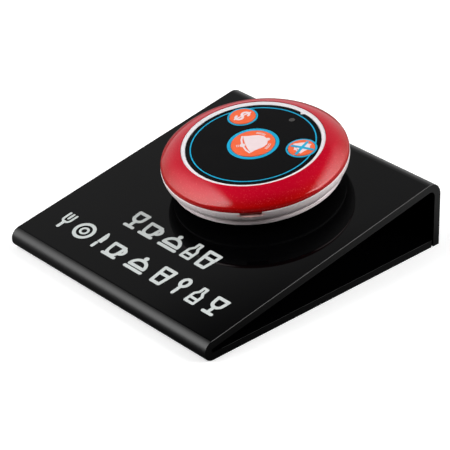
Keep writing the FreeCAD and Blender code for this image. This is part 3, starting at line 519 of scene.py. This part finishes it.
def height_group():
    """A mask of what lies low on the button: 1 up to Low and 0 from High, both in metres over
    the sloping face."""
    tree = bpy.data.node_groups.new("low_on_button", "ShaderNodeTree")
    for name, start in (("Low", 0.010), ("High", 0.011)):
        socket = tree.interface.new_socket(name, in_out="INPUT", socket_type="NodeSocketFloat")
        socket.default_value = start
    tree.interface.new_socket("Mask", in_out="OUTPUT", socket_type="NodeSocketFloat")
    given = tree.nodes.new("NodeGroupInput").outputs
    result = tree.nodes.new("NodeGroupOutput")
    seat, up = button_place(0).translation, button_place(0).col[2].to_3d()
    spot = add_node(tree, "ShaderNodeTexCoord").outputs["Object"]
    along = reckoned(tree, "ShaderNodeVectorMath", "DOT_PRODUCT", spot, up)
    above = reckoned(tree, "ShaderNodeMath", "SUBTRACT", along, seat.dot(up))
    feed(tree, result, Mask=ranged(tree, above, given["High"], given["Low"], smooth=True))
    return tree


LOW_ON_BUTTON = height_group()


def low_on_button(add, low, high):
    """The mask between two heights in millimetres."""
    node = add("ShaderNodeGroup", {"node_tree": LOW_ON_BUTTON}, Low=low * MM, High=high * MM)
    return node.outputs["Mask"]


def notch_floor(tree, add):
    """A mask that covers the floor of the pry notch and fades out under its edge."""
    outwards = Vector((math.cos(NOTCH["angle"]), math.sin(NOTCH["angle"]), 0))
    own = add("ShaderNodeMapping", {"vector_type": "TEXTURE"},
              Vector=add("ShaderNodeTexCoord").outputs["Object"],
              Location=button_place(NOTCH["height"]) @ (outwards * NOTCH["reach"] * MM),
              Rotation=button_place(0).to_euler(), Scale=(1, 1, 1 / NOTCH_FLATTEN))
    reach = reckoned(tree, "ShaderNodeVectorMath", "LENGTH", own.outputs["Vector"])
    return ranged(tree, reach, *(edge * MM for edge in NOTCH_REACH))


def white_abs():
    """Seen in the sheet's mirror image the white is painted nearly black and made rough: a painted shade
    in the reflection.
    """
    material, shader, tree, add = node_material("white_abs")
    surface = fine_surface(add, drift_scale=70, grain_scale=2600, roughness=(0.24, 0.34))
    white = ramped(tree, surface["Drift"], *WHITES)
    # Painted reflected light from the red ring on the white below it.
    bounce_tinted = blended(tree, low_on_button(add, *BAND_TOP), white, RED_BOUNCE_WHITE)
    # Painted light on the shaded floor of the pry notch.
    notch_lit = blended(tree, notch_floor(tree, add), bounce_tinted, NOTCH_PAINTED_LIGHT)
    in_mirror = add("ShaderNodeLightPath").outputs["Is Glossy Ray"]
    rough = add("ShaderNodeMix", Factor=in_mirror, A=surface["Roughness"], B=MIRRORED_ROUGHNESS)
    feed(tree, shader, Base_Color=blended(tree, in_mirror, notch_lit, MIRROR_SHADE_WHITE),
         Roughness=rough.outputs["Result"], Normal=bumped(add, surface["Grain"], 0.004), IOR=1.54)
    return material


dress(white_abs(), "base_cover", "body_shell")


# ---------------------------------------------------------------- trim ring
# Moulded ABS ring sprayed with a pearl red base coat, fine flakes in it, under clear lacquer.
# The red is darker low on the flank, as painted shade. The tongue, seen through the pry notch,
# is painted a light pink, as painted light in the notch's shade.
def flake_group():
    """Random flakes: a tilt added to the surface normal, and a mask of the few that flash."""
    tree = bpy.data.node_groups.new("flakes", "ShaderNodeTree")
    for name, start in (("Scale", 4000.0), ("Tilt", 0.1), ("Share", 0.05)):
        socket = tree.interface.new_socket(name, in_out="INPUT", socket_type="NodeSocketFloat")
        socket.default_value = start
    tree.interface.new_socket("Flash", in_out="OUTPUT", socket_type="NodeSocketFloat")
    tree.interface.new_socket("Normal", in_out="OUTPUT", socket_type="NodeSocketVector")
    given = tree.nodes.new("NodeGroupInput").outputs
    result = tree.nodes.new("NodeGroupOutput")
    place = add_node(tree, "ShaderNodeTexCoord").outputs["Object"]
    colour = add_node(tree, "ShaderNodeTexVoronoi", Vector=place, Scale=given["Scale"]).outputs["Color"]
    centred = reckoned(tree, "ShaderNodeVectorMath", "SUBTRACT", colour, grey(0.5), result="Vector")
    tilt = add_node(tree, "ShaderNodeVectorMath", {"operation": "SCALE"}, Vector=centred,
                    Scale=given["Tilt"])
    normal = add_node(tree, "ShaderNodeNewGeometry").outputs["Normal"]
    leaning = reckoned(tree, "ShaderNodeVectorMath", "ADD", tilt.outputs["Vector"], normal,
                       result="Vector")
    unit = reckoned(tree, "ShaderNodeVectorMath", "NORMALIZE", leaning, result="Vector")
    chance = add_node(tree, "ShaderNodeSeparateColor", Color=colour).outputs["Green"]
    feed(tree, result, Flash=ranged(tree, chance, given["Share"], 0.0), Normal=unit)
    return tree


TONGUE_TOP = (11.1, 11.25)
# Painted shade: the red darkens towards the lower flank of the ring.
FLANK = (13.0, 16.2)
# Painted light: the tongue lies in shade in the notch and is painted a light pink.
TONGUE_PAINTED_LIGHT = (0.95, 0.25, 0.24)
BRIGHT_RED = (0.57, 0.0002, 0.018)
FLANK_SHADE_RED = (0.45, 0.0, 0.0002)
FLASH_RED = (0.64, 0.035, 0.045)
# Painted shade: what the sheet mirrors of the ring is darkened to nearly black.
MIRROR_SHADE_RED = (0.05, 0.0, 0.0)


def pearl_red():
    """Seen in the sheet's mirror image the red is painted nearly black: a painted shade in the
    reflection.
    """
    material, shader, tree, add = node_material("pearl_red")
    flakes = add("ShaderNodeGroup", {"node_tree": flake_group()}, Scale=4200.0, Tilt=0.08, Share=0.08)
    # Painted shade darkens the red on the lower flank.
    coat = blended(tree, low_on_button(add, *FLANK), BRIGHT_RED, FLANK_SHADE_RED)
    flaked = blended(tree, flakes.outputs["Flash"], coat, FLASH_RED)
    # Painted light on the shaded tongue seen through the pry notch.
    tongue_lit = blended(tree, low_on_button(add, *TONGUE_TOP), flaked, TONGUE_PAINTED_LIGHT)
    in_mirror = add("ShaderNodeLightPath").outputs["Is Glossy Ray"]
    feed(tree, shader, Base_Color=blended(tree, in_mirror, tongue_lit, MIRROR_SHADE_RED),
         Normal=flakes.outputs["Normal"], Metallic=0.22, Roughness=0.5, Specular_IOR_Level=0.05,
         Coat_Weight=1.0, Coat_Roughness=0.05, Coat_IOR=1.40)
    return material


dress(pearl_red(), "trim_ring")


# ---------------------------------------------------------------- film and its print
# A satin polyester film, printed black from behind and stuck on the shell's deck. One blue line
# runs round it, and a wider blue ring round each key opening.
FILM_TOP = 16.3
BLUE_LINE = {"radius": 22.1, "width": 0.45}
RING_JOIN = 5.2
KEYS = {
    "call": {"reach": 0.0, "angle": 0, "opening": 7.95, "ring": 9.2},
    "bill": {"reach": 17.7, "angle": 150, "opening": 4.85, "ring": 5.5},
    "cancel": {"reach": 17.7, "angle": 30, "opening": 4.85, "ring": 5.5},
}


def key_spot(key):
    turn = math.radians(key["angle"])
    return key["reach"] * math.cos(turn), key["reach"] * math.sin(turn)


def satin_skin(name, low, high):
    """The skin of screen inks, moulded caps and lamp epoxy."""
    return drifting_finish(name, low, high, scales=(400, 4000), roughness=(0.3, 0.42), depth=0.004)


def film_print():
    """The blue line, broken where it meets the rings of the two small keys, and the rings."""
    radius, reach = BLUE_LINE["radius"], KEYS["bill"]["reach"]
    gap = math.degrees(math.acos((radius ** 2 + reach ** 2 - RING_JOIN ** 2) / (2 * radius * reach)))
    right, left = KEYS["cancel"]["angle"], KEYS["bill"]["angle"]
    shapes = stroke(arc(0, 0, radius, right + gap, left - gap, 90), BLUE_LINE["width"])
    shapes += stroke(arc(0, 0, radius, left + gap, right + 360 - gap, 180), BLUE_LINE["width"])
    for key in KEYS.values():
        middle, width = (key["opening"] + key["ring"]) / 2, key["ring"] - key["opening"]
        shapes += stroke(arc(*key_spot(key), middle, 0, 360, 96), width)
    return shapes


black_film = drifting_finish("black_film", (0.0010, 0.0010, 0.0013), (0.0018, 0.0018, 0.0022),
                             scales=(120, 5000), roughness=(0.16, 0.22), depth=0.003,
                             Specular_IOR_Level=0.22)
dress(black_film, "membrane_overlay")
blue_ink = satin_skin("blue_ink", (0.0, 0.36, 0.60), (0.0, 0.41, 0.68))
blue_print = printed("film_print", film_print(), button_place(FILM_TOP))
blue_print.data.materials.append(blue_ink)
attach(blue_print, "stand_and_housing")


# ---------------------------------------------------------------- indicator light
# A smoked acrylic plug pressed up through the deck, and the red epoxy lamp that is soldered to
# the board under it.
dress(drifting_finish("smoked_acrylic", (0.052, 0.05, 0.048), (0.07, 0.066, 0.064),
                      scales=(600, 5000), roughness=(0.3, 0.42)), "light_window")
dress(satin_skin("lamp_epoxy", (0.55, 0.05, 0.04), (0.62, 0.07, 0.05)), "status_led")


# ---------------------------------------------------------------- keys
# Three crowned orange caps, each with its sign printed on top: a ringing bell to call, a
# currency sign to ask for the bill, and a bell struck out in blue to cancel.
KEY_TOP = 16.6
KEY_CROWN = 0.15
CAP_GAP = 0.35
SIGN_INK = 0.05
CALL_BELL = {"size": 11.2, "lean": math.radians(-28)}
CANCEL_BELL = {"size": 6.6, "lean": math.radians(-22)}
CURRENCY = {"size": 4.9, "lean": math.radians(-9)}
CROSS = (((-2.4, -2.6), (3.2, 2.9)), ((-1.8, 2.9), (2.7, -2.9)))
CROSS_WIDTH = 1.05


def turned(shapes, angle, size=1.0):
    """Turned about the origin, and drawn so many millimetres to the unit."""
    c, s = math.cos(angle) * size, math.sin(angle) * size
    return [[(c * x - s * y, s * x + c * y) for x, y in shape] for shape in shapes]


def bell():
    """A hand bell drawn one unit high: full round body, bowed lip, crown knob and clapper."""
    right = [(0.10, 0.88), (0.23, 0.83), (0.335, 0.70), (0.385, 0.55), (0.42, 0.38),
             (0.48, 0.24), (0.32, 0.205), (0.12, 0.19)]
    body = [(x, y) for x, y in reversed(right)] + [(-x, y) for x, y in right]
    lip = stroke([(-0.47, 0.20), (-0.3, 0.13), (-0.1, 0.10), (0.1, 0.10), (0.3, 0.13),
                  (0.47, 0.20)], 0.06)
    shapes = [body, disc(0, 0.91, 0.075)] + lip + [disc(0, 0.09, 0.09)]
    return [[(x, y - 0.43) for x, y in shape] for shape in shapes]


def ringing():
    """Short double arcs beside the bell's shoulders and under its clapper."""
    shapes = []
    for middle, spread, near, far in ((47, 15, 0.52, 0.57), (137, 17, 0.51, 0.56),
                                      (266, 6, 0.47, 0.52)):
        for reach in (near, far):
            shapes += stroke(arc(0, 0, reach, middle - spread, middle + spread, 8), 0.022)
    return shapes


def currency_sign():
    upper = arc(0, 0.26, 0.27, 15, 270, 14)
    lower = arc(0, -0.28, 0.27, 90, -165, 14)
    return stroke(upper + lower[1:], 0.19) + stroke([(0, 0.70), (0, -0.70)], 0.12)


def cross():
    return [shape for bar in CROSS for shape in stroke(list(bar), CROSS_WIDTH)]


def on_crown(radius):
    """Height over KEY_TOP of a crowned cap at a spot on it."""
    return lambda x, y: KEY_CROWN * (1 - (x * x + y * y) / radius ** 2)


orange_cap = satin_skin("orange_cap", (0.86, 0.125, 0.038), (0.92, 0.15, 0.048))
sign_ink = satin_skin("sign_ink", (0.82, 0.66, 0.68), (0.88, 0.73, 0.74))
dress(orange_cap, *(name + "_key" for name in KEYS))
key_prints = (
    ("call_sign", "call", turned(bell() + ringing(), CALL_BELL["lean"], CALL_BELL["size"]),
     sign_ink, 0),
    ("bill_sign", "bill", turned(currency_sign(), CURRENCY["lean"], CURRENCY["size"]), sign_ink, 0),
    ("cancel_sign", "cancel", turned(bell(), CANCEL_BELL["lean"], CANCEL_BELL["size"]), sign_ink, 0),
    ("cancel_cross", "cancel", turned(cross(), CANCEL_BELL["lean"]), blue_ink, SIGN_INK),
)
for name, key_name, shapes, finish, raised in key_prints:
    across, up = key_spot(KEYS[key_name])
    place = button_place(KEY_TOP + raised) @ Matrix.Translation((across * MM, up * MM, 0))
    cap_radius = KEYS[key_name]["opening"] - CAP_GAP
    piece = printed(name, shapes, place, SIGN_INK, on_crown(cap_radius))
    piece.data.materials.append(finish)
    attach(piece, key_name + "_press")


# ---------------------------------------------------------------- switches
# Tactile switches, one under each key: black nylon base, nickel-plated cover plate, red stem
# and plated pins, soldered through the board. Clips, screws, can and aerial have this plating.
def matt_skin(name, low, high):
    """The skin of nylon, moulded chip packages and ceramic chips."""
    return drifting_finish(name, low, high, scales=(300, 4000), roughness=(0.45, 0.6), depth=0.01)


def plated_metal(name, low, high, roughness):
    return drifting_finish(name, low, high, scales=(250, 6000), roughness=roughness, depth=0.003,
                           Metallic=1.0)


dress(matt_skin("black_nylon", grey(0.012), grey(0.022)),
      *(name + "_switch_base" for name in KEYS))
dress(matt_skin("red_nylon", (0.42, 0.03, 0.02), (0.5, 0.045, 0.03)),
      *(name + "_switch_stem" for name in KEYS))
nickel = plated_metal("nickel_plate", (0.52, 0.51, 0.48), (0.64, 0.63, 0.60), (0.22, 0.34))
dress(nickel, *(name + "_switch_cover" for name in KEYS))
dress(nickel, "switch_pins", "board_screws", "base_screws", "saw_resonator", "antenna_loop",
      "battery_clip_plus", "battery_clip_minus")


# ---------------------------------------------------------------- board and what is soldered on it
# Fibreglass board under green solder mask that shows the copper tracks, with black moulded
# packages and tan ceramic chips.
def solder_mask():
    material, shader, tree, add = node_material("solder_mask")
    surface = fine_surface(add, drift_scale=200, grain_scale=3000, roughness=(0.28, 0.4))
    tracks = add("ShaderNodeTexBrick", {"offset": 0.3}, Scale=260.0, Mortar_Size=0.012,
                 Vector=add("ShaderNodeTexCoord").outputs["Object"], Color1=(0.006, 0.12, 0.035),
                 Color2=(0.008, 0.15, 0.045), Mortar=(0.02, 0.26, 0.08))
    feed(tree, shader, Base_Color=tracks.outputs["Color"], Roughness=surface["Roughness"],
         Normal=bumped(add, tracks.outputs["Fac"], 0.03))
    return material


dress(solder_mask(), "circuit_board")
dress(matt_skin("moulded_epoxy", (0.01, 0.01, 0.011), (0.02, 0.02, 0.021)), "encoder_chip",
      "rf_transistor", "chip_resistors")
dress(matt_skin("tan_ceramic", (0.36, 0.24, 0.13), (0.46, 0.32, 0.19)), "chip_capacitors")


# ---------------------------------------------------------------- battery
# A 12 V alkaline cell in a lacquered steel jacket. It lies in two cradles of the base cover
# between the spring clips.
dress(plated_metal("cell_jacket", (0.50, 0.33, 0.09), (0.60, 0.41, 0.13), (0.25, 0.38)), "battery")
